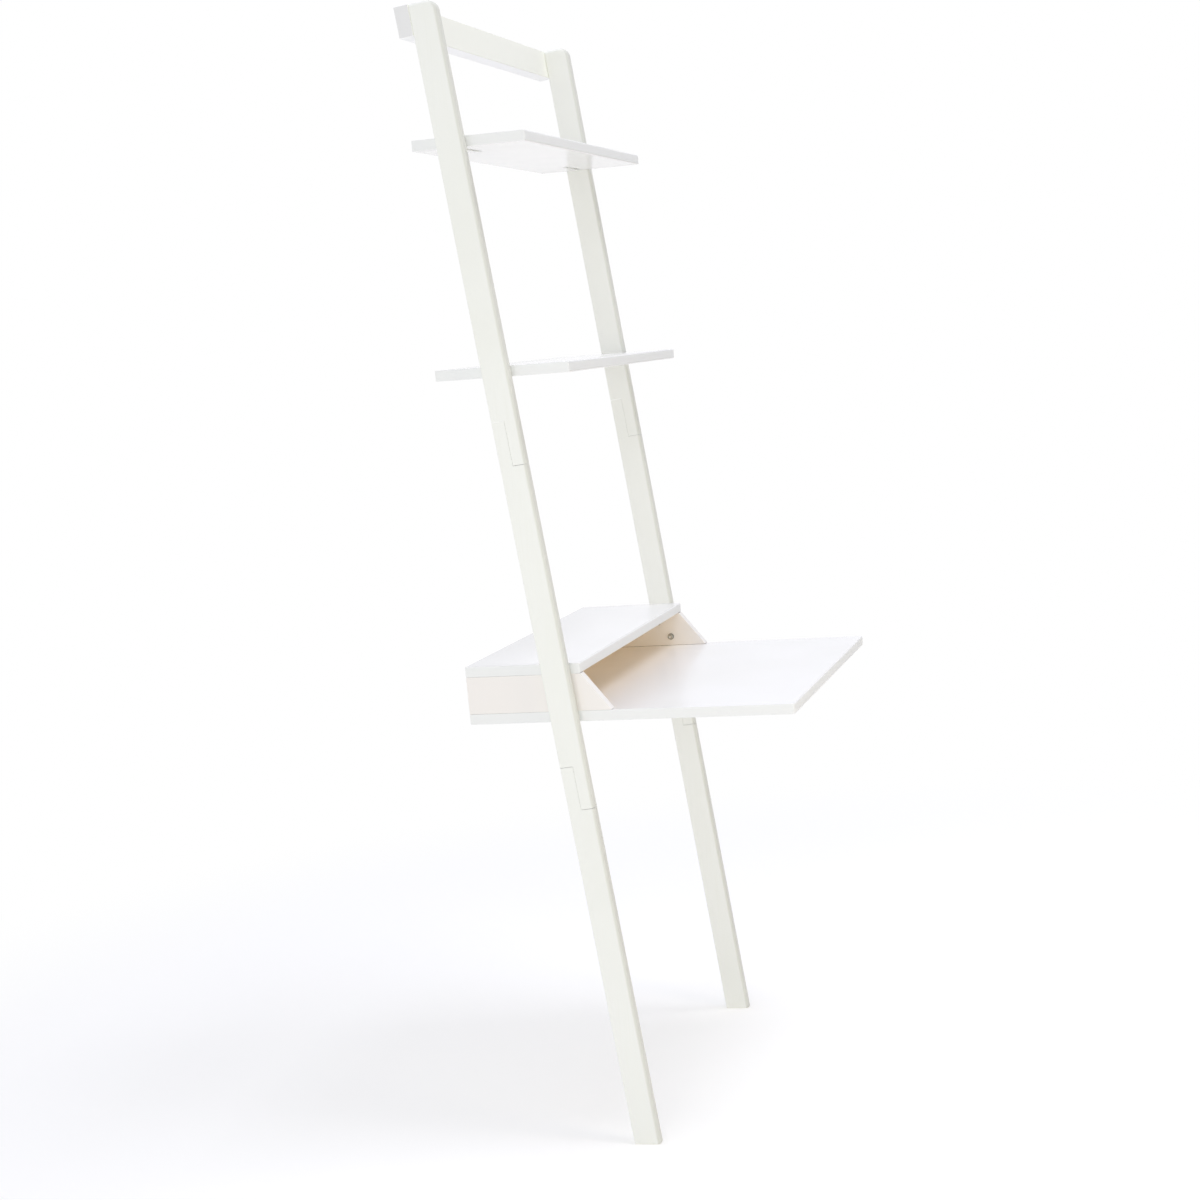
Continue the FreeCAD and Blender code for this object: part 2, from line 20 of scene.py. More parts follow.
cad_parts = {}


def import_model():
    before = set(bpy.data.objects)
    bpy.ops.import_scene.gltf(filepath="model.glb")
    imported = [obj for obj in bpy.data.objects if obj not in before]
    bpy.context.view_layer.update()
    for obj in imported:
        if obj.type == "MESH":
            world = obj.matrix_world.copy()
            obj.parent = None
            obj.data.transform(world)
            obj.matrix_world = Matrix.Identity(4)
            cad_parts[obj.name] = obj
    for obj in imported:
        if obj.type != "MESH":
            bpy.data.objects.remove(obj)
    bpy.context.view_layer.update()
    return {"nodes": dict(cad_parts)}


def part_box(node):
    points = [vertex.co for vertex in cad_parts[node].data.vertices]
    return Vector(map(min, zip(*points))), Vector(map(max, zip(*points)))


MM = 0.001
LEAN_DEGREES = 6.06
WASHER_DIAMETER_MM = 12.5
LACQUER_IOR = 1.5
WHITE = (1.0, 1.0, 1.0, 1.0)
LOG = logging.getLogger("ladder_desk")

# Places of the two inputs and the result on Blender's Mix node, for each kind of value that it mixes.
FLOAT_A = 2
FLOAT_B = 3
FLOAT_OUT = 0
VECTOR_A = 4
VECTOR_B = 5
VECTOR_OUT = 1
COLOUR_A = 6
COLOUR_B = 7
COLOUR_OUT = 2

Value = float | Sequence[float] | bpy.types.NodeSocket
Colour = tuple[float, float, float, float]
Triple = tuple[float, float, float]
Pair = tuple[float, float]


def linear_from_hex(code: str) -> Colour:
    """Turn an sRGB hex colour into linear RGBA by the sRGB curve: a straight foot, and a power above it.

    Args:
        code: Six hex digits with a leading #.

    Returns:
        Linear red, green, blue and an alpha of 1.
    """
    coded = (int(code[place : place + 2], 16) / 255.0 for place in (1, 3, 5))
    red, green, blue = (
        level / 12.92 if level <= 0.04045 else ((level + 0.055) / 1.055) ** 2.4 for level in coded
    )
    return (red, green, blue, 1.0)


def add_node(
    tree: bpy.types.NodeTree,
    kind: str,
    settings: Mapping[str, object] | None = None,
    inputs: Mapping[str | int, Value] | None = None,
) -> bpy.types.Node:
    """Add one shader node with its settings, constants and links.

    Args:
        tree: Node tree that gets the node.
        kind: Blender's type name of the node.
        settings: Attribute names of the node and their values.
        inputs: Input sockets by name or index; a socket as value is linked, anything else is set.

    Returns:
        The new node.
    """
    node = tree.nodes.new(kind)
    for name, value in (settings or {}).items():
        setattr(node, name, value)
    for key, value in (inputs or {}).items():
        socket = node.inputs[key]
        if isinstance(value, bpy.types.NodeSocket):
            tree.links.new(value, socket)
        else:
            socket.default_value = value
    return node


def start_material(name: str) -> tuple[bpy.types.Material, bpy.types.NodeTree, bpy.types.Node]:
    """Start a node material with one Principled surface.

    Args:
        name: Name of the material.

    Returns:
        The material, its node tree and its Principled node.
    """
    material = bpy.data.materials.new(name)
    material.use_nodes = True
    tree = material.node_tree
    tree.nodes.clear()
    surface = add_node(tree, "ShaderNodeBsdfPrincipled")
    add_node(tree, "ShaderNodeOutputMaterial", inputs={"Surface": surface.outputs["BSDF"]})
    return material, tree, surface


def link_surface(
    surface: bpy.types.Node,
    colour: bpy.types.NodeSocket,
    sheen: bpy.types.NodeSocket,
    relief: bpy.types.NodeSocket,
) -> None:
    """Link a finish's patterns to its Principled node.

    Args:
        surface: The Principled node.
        colour: Socket with the base colour.
        sheen: Socket with the roughness.
        relief: Socket with the bumped normal.
    """
    links = surface.id_data.links
    links.new(colour, surface.inputs["Base Color"])
    links.new(sheen, surface.inputs["Roughness"])
    links.new(relief, surface.inputs["Normal"])


def mesh_from_rings(name: str, points: np.ndarray) -> bpy.types.Object:
    """Make an object from closed rings of points, with a quad between each four neighbours.

    Args:
        name: Name of the object and its mesh.
        points: Array of rings by points of a ring by 3.

    Returns:
        The linked object, with its place in its mesh.
    """
    rings, spokes = points.shape[:2]
    index = np.arange(rings * spokes).reshape(rings, spokes)
    index = np.concatenate([index, index[:, :1]], axis=1)
    corners = (index[:-1, :-1], index[:-1, 1:], index[1:, 1:], index[1:, :-1])
    quads = np.stack([corner.ravel() for corner in corners], axis=1)
    mesh = bpy.data.meshes.new(name)
    mesh.from_pydata(points.reshape(-1, 3), [], quads.tolist())
    mesh.update()
    made = bpy.data.objects.new(name, mesh)
    bpy.context.scene.collection.objects.link(made)
    return made


# ------------------------------------------------------------------------------------------- finishes


@dataclass(frozen=True)
class JointShade:
    """Painted shade in the hairline where two pieces meet.

    The colour is darkened towards grey wherever ambient occlusion finds other surfaces close by:
    painted shade in each joint and groove.
    """

    # painted shade: the grey that joints and grooves are darkened towards
    painted_shade: str = "#8F8A80"
    reach_mm: float = 2.0
    open_share: float = 0.46
    shut_share: float = 0.20
    samples: int = 8

    def darken(self, tree: bpy.types.NodeTree, colour: bpy.types.NodeSocket) -> bpy.types.NodeSocket:
        """Lay the painted shade over a colour: none where a spot is open to the air, all where neighbours shut
        it in.

        Args:
            tree: Node tree of the finish.
            colour: Socket with the clean colour.

        Returns:
            A socket with the dusty colour.
        """
        openness = add_node(
            tree,
            "ShaderNodeAmbientOcclusion",
            {"samples": self.samples},
            {"Distance": self.reach_mm * MM},
        ).outputs["AO"]
        share = add_node(
            tree,
            "ShaderNodeMapRange",
            inputs={"Value": openness, "From Min": self.open_share, "From Max": self.shut_share},
        ).outputs["Result"]
        return add_node(
            tree,
            "ShaderNodeMix",
            {"data_type": "RGBA"},
            {"Factor": share, COLOUR_A: colour, COLOUR_B: linear_from_hex(self.painted_shade)},
        ).outputs[COLOUR_OUT]


class Grain(Enum):
    """Which way a member's grain runs, as the number of the axis that it follows most closely."""

    ACROSS_DESK = 0
    UP_THE_LEAN = 2


@dataclass(frozen=True)
class SatinLacquerOnRubberwood:
    """Satin white lacquer sprayed over planed rubberwood.

    The eye sees an even off-white with a slight green-grey cast, a soft sheen, and the grain as faint raised
    lines along each member, because the thin film follows the wood. The front faces and their rounded edges
    get a darker, painted shade, for the weaker light from the front. End grain drinks the film and is greyer.
    """

    name: str = "satin_lacquer_on_rubberwood"
    film: str = "#F3F4EE"
    thin_film: str = "#EEEFE7"
    # painted shade: the darker colour of the front faces and their rounded edges
    painted_light: str = "#DFE0D7"
    end_grain: str = "#E8E8E7"
    grain: Grain = Grain.UP_THE_LEAN
    lean_degrees: float = LEAN_DEGREES
    grain_mm: float = 3.0  # real pores are 1 mm apart; drawn coarser so that they show
    streak_mm: float = 90.0
    drift_mm: float = 240.0
    peel_mm: float = 2.2
    pore_span: Pair = (0.45, 0.75)  # values of the grain between which the film goes from full to thin
    pore_share: float = 0.45
    drift_span: Pair = (0.35, 0.65)
    drift_share: float = 0.55
    front_shade_facing: Pair = (-0.05, -0.55)  # Y of the normal where the painted front shade sets in and where it is full
    end_facing: Pair = (0.85, 0.97)  # share of the normal along the grain, for the same two places
    pore_depth_mm: float = 0.25
    peel_depth_mm: float = 0.15
    relief: float = 0.10
    sheen_span: Pair = (0.3, 0.7)
    roughness: Pair = (0.38, 0.47)

    def make(self) -> bpy.types.Material:
        """Build the material.

        Returns:
            The lacquer as a node material on Object coordinates.
        """
        material, tree, surface = start_material(self.name)
        place = add_node(tree, "ShaderNodeTexCoord").outputs["Object"]
        stretch = [1.0, 1.0, 1.0]
        stretch[self.grain.value] = self.grain_mm / self.streak_mm
        turn = (math.radians(self.lean_degrees), 0.0, 0.0)
        along = add_node(
            tree,
            "ShaderNodeMapping",
            inputs={"Vector": place, "Rotation": turn, "Scale": stretch},
        ).outputs["Vector"]
        pores, drift, peel = (
            add_node(
                tree,
                "ShaderNodeTexNoise",
                inputs={
                    "Vector": point,
                    "Scale": 1.0 / (size_mm * MM),
                    "Detail": detail,
                    "Roughness": rough,
                },
            ).outputs["Fac"]
            for point, size_mm, detail, rough in (
                (along, self.grain_mm, 3.0, 0.6),
                (place, self.drift_mm, 2.0, 0.5),
                (place, self.peel_mm, 1.0, 0.5),
            )
        )
        sheen = add_node(
            tree,
            "ShaderNodeMapRange",
            inputs={
                "Value": drift,
                "From Min": self.sheen_span[0],
                "From Max": self.sheen_span[1],
                "To Min": self.roughness[0],
                "To Max": self.roughness[1],
            },
        ).outputs["Result"]
        raised = add_node(
            tree,
            "ShaderNodeBump",
            inputs={"Height": pores, "Strength": self.relief, "Distance": self.pore_depth_mm * MM},
        ).outputs["Normal"]
        peeled = add_node(
            tree,
            "ShaderNodeBump",
            inputs={
                "Height": peel,
                "Strength": self.relief,
                "Distance": self.peel_depth_mm * MM,
                "Normal": raised,
            },
        ).outputs["Normal"]
        surface.inputs["IOR"].default_value = LACQUER_IOR
        link_surface(surface, self.paint_front_shade_and_end_grain(tree, self.spray(tree, pores, drift)), sheen, peeled)
        return material

    def spray(
        self,
        tree: bpy.types.NodeTree,
        pores: bpy.types.NodeSocket,
        drift: bpy.types.NodeSocket,
    ) -> bpy.types.NodeSocket:
        """Colour the film: thinner over the pores, and thinner where the spray drifted.

        Args:
            tree: Node tree of the lacquer.
            pores: Socket with the grain's pattern.
            drift: Socket with the spray's pattern.

        Returns:
            A socket with the film's colour.
        """
        thin_pores, thin_drift = (
            add_node(
                tree,
                "ShaderNodeMapRange",
                inputs={"Value": pattern, "From Min": span[0], "From Max": span[1], "To Max": most},
            ).outputs["Result"]
            for pattern, span, most in (
                (pores, self.pore_span, self.pore_share),
                (drift, self.drift_span, self.drift_share),
            )
        )
        share = add_node(tree, "ShaderNodeMath", {"operation": "MAXIMUM"}, {0: thin_pores, 1: thin_drift})
        return add_node(
            tree,
            "ShaderNodeMix",
            {"data_type": "RGBA"},
            {
                "Factor": share.outputs[0],
                COLOUR_A: linear_from_hex(self.film),
                COLOUR_B: linear_from_hex(self.thin_film),
            },
        ).outputs[COLOUR_OUT]

    def paint_front_shade_and_end_grain(self, tree: bpy.types.NodeTree, colour: bpy.types.NodeSocket) -> bpy.types.NodeSocket:
        """Lay painted shade over what faces forward, and the end grain's colour over what faces along the
        grain.

        Args:
            tree: Node tree of the lacquer.
            colour: Socket with the film's colour.

        Returns:
            A socket with the colour of all faces.
        """
        facing = add_node(tree, "ShaderNodeNewGeometry").outputs["Normal"]
        parts = add_node(tree, "ShaderNodeSeparateXYZ", inputs={"Vector": facing}).outputs
        endwise = add_node(tree, "ShaderNodeMath", {"operation": "ABSOLUTE"}, {0: parts[self.grain.value]})
        for part, span, tint in (
            (parts["Y"], self.front_shade_facing, self.painted_light),
            (endwise.outputs[0], self.end_facing, self.end_grain),
        ):
            share = add_node(
                tree,
                "ShaderNodeMapRange",
                {"interpolation_type": "SMOOTHSTEP"},
                {"Value": part, "From Min": span[0], "From Max": span[1]},
            ).outputs["Result"]
            colour = add_node(
                tree,
                "ShaderNodeMix",
                {"data_type": "RGBA"},
                {"Factor": share, COLOUR_A: colour, COLOUR_B: linear_from_hex(tint)},
            ).outputs[COLOUR_OUT]
        return colour


@dataclass(frozen=True)
class GlossLacquerOnFibreboard:
    """White lacquer sprayed over medium-density fibreboard and polished on its faces.

    The eye sees a clean white with clear soft reflections on the broad faces. The cut edges drink more
    paint, so they are duller and slightly furry. Inside the cubby the colour turns cream: painted shade,
    standing in for the warm dim light in there.
    """

    name: str = "gloss_lacquer_on_fibreboard"
    face: str = "#F6F5F4"
    face_shade: str = "#F2F1EF"
    edge: str = "#EFF0EE"
    # painted shade: a warm cream laid inside the cubby, for the warm light in there
    cubby_shade_tint: str = "#FDF7ED"
    cubby_low: Triple = (0.0, 0.0, 0.0)
    cubby_high: Triple = (0.0, 0.0, 0.0)
    cubby_blend_mm: float = 90.0
    # painted shade in each joint and groove, from ambient occlusion
    joint_shade: JointShade = JointShade()
    drift_mm: float = 160.0
    peel_mm: float = 3.5  # real orange peel is 2 mm; drawn coarser so that it shows
    fibre_mm: float = 1.6
    drift_span: Pair = (0.35, 0.65)
    edge_facing: Pair = (0.4, 0.95)  # upright share of the normal on a cut edge and on a broad face
    peel_depth_mm: float = 0.08
    fibre_depth_mm: float = 0.10
    relief: float = 0.02
    sheen_span: Pair = (0.3, 0.7)
    face_roughness: Pair = (0.16, 0.22)
    edge_roughness: float = 0.55

    def make(self) -> bpy.types.Material:
        """Build the material.

        Returns:
            The lacquer as a node material on Object coordinates.
        """
        material, tree, surface = start_material(self.name)
        place = add_node(tree, "ShaderNodeTexCoord").outputs["Object"]
        facing = add_node(tree, "ShaderNodeNewGeometry").outputs["Normal"]
        upright = add_node(tree, "ShaderNodeSeparateXYZ", inputs={"Vector": facing}).outputs["Z"]
        flatness = add_node(tree, "ShaderNodeMath", {"operation": "ABSOLUTE"}, {0: upright}).outputs[0]
        edge_share = add_node(
            tree,
            "ShaderNodeMapRange",
            inputs={
                "Value": flatness,
                "From Min": self.edge_facing[0],
                "From Max": self.edge_facing[1],
                "To Min": 1.0,
                "To Max": 0.0,
            },
        ).outputs["Result"]
        drift, peel, fibre = (
            add_node(
                tree,
                "ShaderNodeTexNoise",
                inputs={
                    "Vector": place,
                    "Scale": 1.0 / (size_mm * MM),
                    "Detail": detail,
                    "Roughness": rough,
                },
            ).outputs["Fac"]
            for size_mm, detail, rough in (
                (self.drift_mm, 2.0, 0.5),
                (self.peel_mm, 1.0, 0.5),
                (self.fibre_mm, 4.0, 0.7),
            )
        )
        face_sheen = add_node(
            tree,
            "ShaderNodeMapRange",
            inputs={
                "Value": drift,
                "From Min": self.sheen_span[0],
                "From Max": self.sheen_span[1],
                "To Min": self.face_roughness[0],
                "To Max": self.face_roughness[1],
            },
        ).outputs["Result"]
        sheen = add_node(
            tree,
            "ShaderNodeMix",
            {"data_type": "FLOAT"},
            {"Factor": edge_share, FLOAT_A: face_sheen, FLOAT_B: self.edge_roughness},
        ).outputs[FLOAT_OUT]
        fur = add_node(tree, "ShaderNodeMath", {"operation": "MULTIPLY"}, {0: fibre, 1: edge_share})
        furred = add_node(
            tree,
            "ShaderNodeBump",
            inputs={
                "Height": fur.outputs[0],
                "Strength": self.relief,
                "Distance": self.fibre_depth_mm * MM,
            },
        ).outputs["Normal"]
        peeled = add_node(
            tree,
            "ShaderNodeBump",
            inputs={
                "Height": peel,
                "Strength": self.relief,
                "Distance": self.peel_depth_mm * MM,
                "Normal": furred,
            },
        ).outputs["Normal"]
        surface.inputs["IOR"].default_value = LACQUER_IOR
        colour = self.joint_shade.darken(tree, self.spray(tree, place, drift, edge_share))
        link_surface(surface, colour, sheen, peeled)
        return material

    def spray(
        self,
        tree: bpy.types.NodeTree,
        place: bpy.types.NodeSocket,
        drift: bpy.types.NodeSocket,
        edge_share: bpy.types.NodeSocket,
    ) -> bpy.types.NodeSocket:
        """Colour the lacquer: the faces where the spray drifted, then the edges, then the painted shade inside
        the cubby.

        Args:
            tree: Node tree of the lacquer.
            place: Socket that gives the point.
            drift: Socket with the spray's pattern.
            edge_share: Socket that is 1 on cut edges and 0 on broad faces.

        Returns:
            A socket with the colour.
        """
        drift_share = add_node(
            tree,
            "ShaderNodeMapRange",
            inputs={"Value": drift, "From Min": self.drift_span[0], "From Max": self.drift_span[1]},
        ).outputs["Result"]
        colour: Value = linear_from_hex(self.face)
        for share, tint in (
            (drift_share, self.face_shade),
            (edge_share, self.edge),
            # painted shade: cream over the inside of the cubby
            (self.cubby_shade_share(tree, place), self.cubby_shade_tint),
        ):
            colour = add_node(
                tree,
                "ShaderNodeMix",
                {"data_type": "RGBA"},
                {"Factor": share, COLOUR_A: colour, COLOUR_B: linear_from_hex(tint)},
            ).outputs[COLOUR_OUT]
        return colour

    def cubby_shade_share(self, tree: bpy.types.NodeTree, place: bpy.types.NodeSocket) -> bpy.types.NodeSocket:
        """Share of the cubby's painted shade at a point: the product of a ramp for each side of the cubby's
        box.

        Args:
            tree: Node tree of the lacquer.
            place: Socket that gives the point.

        Returns:
            A socket that is 0 outside and rises to 1 behind the cubby's front.
        """
        parts = add_node(tree, "ShaderNodeSeparateXYZ", inputs={"Vector": place}).outputs
        blends = (MM, self.cubby_blend_mm * MM, MM)
        share: Value = 1.0
        for part, low, high, blend in zip(parts, self.cubby_low, self.cubby_high, blends):
            for start, end in ((low, low + blend), (high, high - MM)):
                ramp = add_node(
                    tree,
                    "ShaderNodeMapRange",
                    {"interpolation_type": "SMOOTHSTEP"},
                    {"Value": part, "From Min": start, "From Max": end},
                ).outputs["Result"]
                product = add_node(tree, "ShaderNodeMath", {"operation": "MULTIPLY"}, {0: share, 1: ramp})
                share = product.outputs[0]
        return share


@dataclass(frozen=True)
class PlatedMetal:
    """A metal fitting that is plated or turned, and then handled.

    The eye sees a grey or yellow metal whose surface is mottled, with small dull patches and fine scratches.
    """

    name: str
    bright: str
    dull: str
    patch_mm: float
    scratch_mm: float
    roughness: Pair
    patch_span: Pair = (0.35, 0.65)
    sheen_span: Pair = (0.3, 0.7)
    scratch_depth_mm: float = 0.05
    relief: float = 0.15
    sockets: tuple[Pair, ...] = ()  # Y and Z of the axes of the bolts whose key sockets get a painted highlight
    socket_mm: float = 2.6
    # painted highlight: bright metal colour laid in each listed key socket
    socket_highlight: str = "#F4F4F0"

    def make(self) -> bpy.types.Material:
        """Build the material.

        Returns:
            The metal as a node material on Object coordinates.
        """
        material, tree, surface = start_material(self.name)
        place = add_node(tree, "ShaderNodeTexCoord").outputs["Object"]
        patch, scratch = (
            add_node(
                tree,
                "ShaderNodeTexNoise",
                inputs={
                    "Vector": place,
                    "Scale": 1.0 / (size_mm * MM),
                    "Detail": detail,
                    "Roughness": rough,
                },
            ).outputs["Fac"]
            for size_mm, detail, rough in ((self.patch_mm, 4.0, 0.6), (self.scratch_mm, 2.0, 0.5))
        )
        share = add_node(
            tree,
            "ShaderNodeMapRange",
            inputs={"Value": patch, "From Min": self.patch_span[0], "From Max": self.patch_span[1]},
        ).outputs["Result"]
        colour = add_node(
            tree,
            "ShaderNodeMix",
            {"data_type": "RGBA"},
            {
                "Factor": share,
                COLOUR_A: linear_from_hex(self.bright),
                COLOUR_B: linear_from_hex(self.dull),
            },
        ).outputs[COLOUR_OUT]
        for middle in self.sockets:
            colour = self.paint_socket_highlight(tree, place, colour, middle)
        sheen = add_node(
            tree,
            "ShaderNodeMapRange",
            inputs={
                "Value": patch,
                "From Min": self.sheen_span[0],
                "From Max": self.sheen_span[1],
                "To Min": self.roughness[0],
                "To Max": self.roughness[1],
            },
        ).outputs["Result"]
        scratched = add_node(
            tree,
            "ShaderNodeBump",
            inputs={
                "Height": scratch,
                "Strength": self.relief,
                "Distance": self.scratch_depth_mm * MM,
            },
        ).outputs["Normal"]
        surface.inputs["Metallic"].default_value = 1.0
        link_surface(surface, colour, sheen, scratched)
        return material

    def paint_socket_highlight(
        self,
        tree: bpy.types.NodeTree,
        place: bpy.types.NodeSocket,
        colour: bpy.types.NodeSocket,
        middle: Pair,
    ) -> bpy.types.NodeSocket:
        """Paint a highlight near the axis of a bolt that lies along X: a disc of bright metal colour in its
        key socket.

        Args:
            tree: Node tree of the metal.
            place: Socket that gives the point.
            colour: Socket with the plated colour.
            middle: Y and Z of the bolt's axis.

        Returns:
            A socket with the colour and its painted highlight.
        """
        across = add_node(
            tree,
            "ShaderNodeVectorMath",
            {"operation": "MULTIPLY"},
            {0: place, 1: (0.0, 1.0, 1.0)},
        ).outputs[0]
        radius = add_node(
            tree,
            "ShaderNodeVectorMath",
            {"operation": "DISTANCE"},
            {0: across, 1: (0.0, *middle)},
        ).outputs["Value"]
        painted_light = add_node(
            tree,
            "ShaderNodeMath",
            {"operation": "LESS_THAN"},
            {0: radius, 1: self.socket_mm * MM},
        ).outputs[0]
        return add_node(
            tree,
            "ShaderNodeMix",
            {"data_type": "RGBA"},
            {"Factor": painted_light, COLOUR_A: colour, COLOUR_B: linear_from_hex(self.socket_highlight)},
        ).outputs[COLOUR_OUT]


@dataclass(frozen=True)
class TurnedBeech:
    """Bare turned beech.

    The eye sees a warm tan wood with short darker ray flecks along the grain and a dry, matt surface.
    """

    name: str = "turned_beech"
    pale: str = "#D9B98C"
    fleck: str = "#B98D5E"
    grain_mm: float = 0.8
    streak_mm: float = 8.0
    fleck_span: Pair = (0.45, 0.7)
    fleck_depth_mm: float = 0.1
    relief: float = 0.3
    roughness: Pair = (0.57, 0.70)

    def make(self) -> bpy.types.Material:
        """Build the material.

        Returns:
            The wood as a node material on Object coordinates.
        """
        material, tree, surface = start_material(self.name)
        place = add_node(tree, "ShaderNodeTexCoord").outputs["Object"]
        along = add_node(
            tree,
            "ShaderNodeMapping",
            inputs={"Vector": place, "Scale": (1.0, 1.0, self.grain_mm / self.streak_mm)},
        ).outputs["Vector"]
        grain = add_node(
            tree,
            "ShaderNodeTexNoise",
            inputs={"Vector": along, "Scale": 1.0 / (self.grain_mm * MM), "Detail": 3.0},
        ).outputs["Fac"]
        share = add_node(
            tree,
            "ShaderNodeMapRange",
            inputs={"Value": grain, "From Min": self.fleck_span[0], "From Max": self.fleck_span[1]},
        ).outputs["Result"]
        colour = add_node(
            tree,
            "ShaderNodeMix",
            {"data_type": "RGBA"},
            {
                "Factor": share,
                COLOUR_A: linear_from_hex(self.pale),
                COLOUR_B: linear_from_hex(self.fleck),
            },
        ).outputs[COLOUR_OUT]
        sheen = add_node(
            tree,
            "ShaderNodeMapRange",
            inputs={"Value": grain, "To Min": self.roughness[0], "To Max": self.roughness[1]},
        ).outputs["Result"]
        flecked = add_node(
            tree,
            "ShaderNodeBump",
            inputs={"Height": grain, "Strength": self.relief, "Distance": self.fleck_depth_mm * MM},
        ).outputs["Normal"]
        link_surface(surface, colour, sheen, flecked)
        return material


Finish = SatinLacquerOnRubberwood | GlossLacquerOnFibreboard | PlatedMetal | TurnedBeech


class Slot(Enum):
    """Which finish a piece has: the record's slots, and apart the crossbar, panels and bolts with painted
    highlights.
    """

    RAIL = "lacquered_rail"
    CROSSBAR = "lacquered_crossbar"
    BOARD = "painted_board"
    PANEL = "painted_panel"
    BOLT = "steel_bolt"
    WORN_BOLT = "socket_highlight_steel_bolt"
    WASHER = "steel_washer"
    INSERT = "brass_insert"
    SCREW = "steel_screw"
    DOWEL = "beech_dowel"


def make_finishes() -> dict[Slot, bpy.types.Material]:
    """Make one material for each slot.

    Returns:
        The materials by slot.
    """
    panel_low, panel_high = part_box("cubby_side_right")
    _, desk_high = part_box("desk_board")
    washer_low, washer_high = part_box("cubby_washers_right")
    margin = 2.0 * MM  # the painted shade's region is this much larger than the hollow, so that its faces lie in it
    radius = WASHER_DIAMETER_MM * MM / 2
    rail = SatinLacquerOnRubberwood()
    board = GlossLacquerOnFibreboard(
        cubby_low=(-panel_low[0] - margin, panel_low[1], desk_high[2] - margin),
        cubby_high=(panel_low[0] + margin, panel_high[1] + margin, panel_high[2] + margin),
    )
    LOG.info("primer shows from %s to %s", board.cubby_low, board.cubby_high)
    zinc = PlatedMetal(
        name="zinc_plated_steel",
        bright="#D2D2CB",
        dull="#AEAEA5",
        patch_mm=1.6,
        scratch_mm=0.4,
        roughness=(0.22, 0.38),
    )
    chosen: dict[Slot, Finish] = {
        Slot.RAIL: rail,
        Slot.CROSSBAR: replace(
            rail,
            name="fresh_satin_lacquer_on_rubberwood",
            film="#FCFCFB",
            thin_film="#F9F9F8",
            painted_light="#FBFCF2",  # painted shade: only a slight yellow tint on the crossbar's front faces
            grain=Grain.ACROSS_DESK,
        ),
        Slot.BOARD: board,
        Slot.PANEL: replace(board, name="cream_lacquer_on_fibreboard", edge="#F3EFEA"),
        Slot.BOLT: zinc,
        # painted highlight in the key sockets of the cubby's bolts
        Slot.WORN_BOLT: replace(
            zinc,
            name="worn_zinc_plated_steel",
            sockets=(
                (washer_low[1] + radius, washer_low[2] + radius),
                (washer_high[1] - radius, washer_high[2] - radius),
            ),
        ),
        Slot.WASHER: PlatedMetal(
            name="stamped_zinc_plated_steel",
            bright="#B4B4AB",
            dull="#8F8F85",
            patch_mm=2.0,
            scratch_mm=0.5,
            roughness=(0.28, 0.44),
        ),
        Slot.INSERT: PlatedMetal(
            name="turned_brass",
            bright="#D8BE7A",
            dull="#B0935A",
            patch_mm=2.2,
            scratch_mm=0.3,
            roughness=(0.22, 0.34),
        ),
        Slot.SCREW: PlatedMetal(
            name="bright_zinc_plated_screw_steel",
            bright="#C9CAC8",
            dull="#9EA09C",
            patch_mm=1.8,
            scratch_mm=0.4,
            roughness=(0.22, 0.38),
        ),
        Slot.DOWEL: TurnedBeech(),
    }
    return {slot: finish.make() for slot, finish in chosen.items()}


# ------------------------------------------------------------------------------------------- sub-assemblies


class Side(Enum):
    """The two sides of the desk as its user sees them."""

    LEFT = "left"
    RIGHT = "right"


def both(stem: str) -> list[str]:
    """Give the node names of a mirrored pair."""
    return [f"{stem}_{side.value}" for side in Side]


@dataclass
class SubAssembly:
    """Pieces of the desk that are made and dressed together."""

    nodes: dict[str, bpy.types.Object]
    finishes: dict[Slot, bpy.types.Material]

    def dress(self, names: Sequence[str], slot: Slot) -> None:
        """Give CAD nodes their finish.

        Args:
            names: CAD nodes that share the finish.
            slot: The slot of that finish.
        """
        finish = self.finishes[slot]
        for name in names:
            for place in self.nodes[name].material_slots:
                place.material = finish
            LOG.info("dressed %s as %s", name, finish.name)


@dataclass
class Rails(SubAssembly):
    """The two leaning rails, each of three lapped sections, and the crossbar behind their tops."""

    sections: tuple[str, ...] = ("rail_lower", "rail_middle", "rail_upper")
    crossbar: str = "crossbar"

    def build(self) -> None:
        """Dress the sections of both rails and the crossbar."""
        for section in self.sections:
            self.dress(both(section), Slot.RAIL)
        self.dress([self.crossbar], Slot.CROSSBAR)


@dataclass
class Boards(SubAssembly):
    """The two shelves, the desk board and the cubby's top, back and side panels."""

    boards: tuple[str, ...] = ("upper_shelf", "lower_shelf", "desk_board", "cubby_top")
    back: str = "cubby_back"
    sides: str = "cubby_side"

    def build(self) -> None:
        """Dress every painted board and panel."""
        self.dress(self.boards, Slot.BOARD)
        self.dress([self.back, *both(self.sides)], Slot.PANEL)


@dataclass
class Fittings(SubAssembly):
    """Bolts, washers, inserts, screws and dowels."""

    bolted: tuple[str, ...] = ("lower_lap", "upper_lap", "crossbar", "cubby")
    shelves: tuple[str, ...] = ("upper_shelf", "lower_shelf")

    def build(self) -> None:
        """Dress every fitting."""
        for stem in self.bolted:
            # the cubby's bolts carry a painted highlight in their key sockets
            self.dress(both(f"{stem}_bolts"), Slot.WORN_BOLT if stem == "cubby" else Slot.BOLT)
            self.dress(both(f"{stem}_inserts"), Slot.INSERT)
        for stem in self.shelves:
            self.dress(both(f"{stem}_bolt"), Slot.BOLT)
            self.dress(both(f"{stem}_insert"), Slot.INSERT)
        self.dress(both("cubby_washers"), Slot.WASHER)
        for kind, slot in (("screws", Slot.SCREW), ("dowels", Slot.DOWEL)):
            self.dress([*both(f"cubby_side_{kind}"), f"cubby_back_{kind}"], slot)


# ------------------------------------------------------------------------------------------- studio


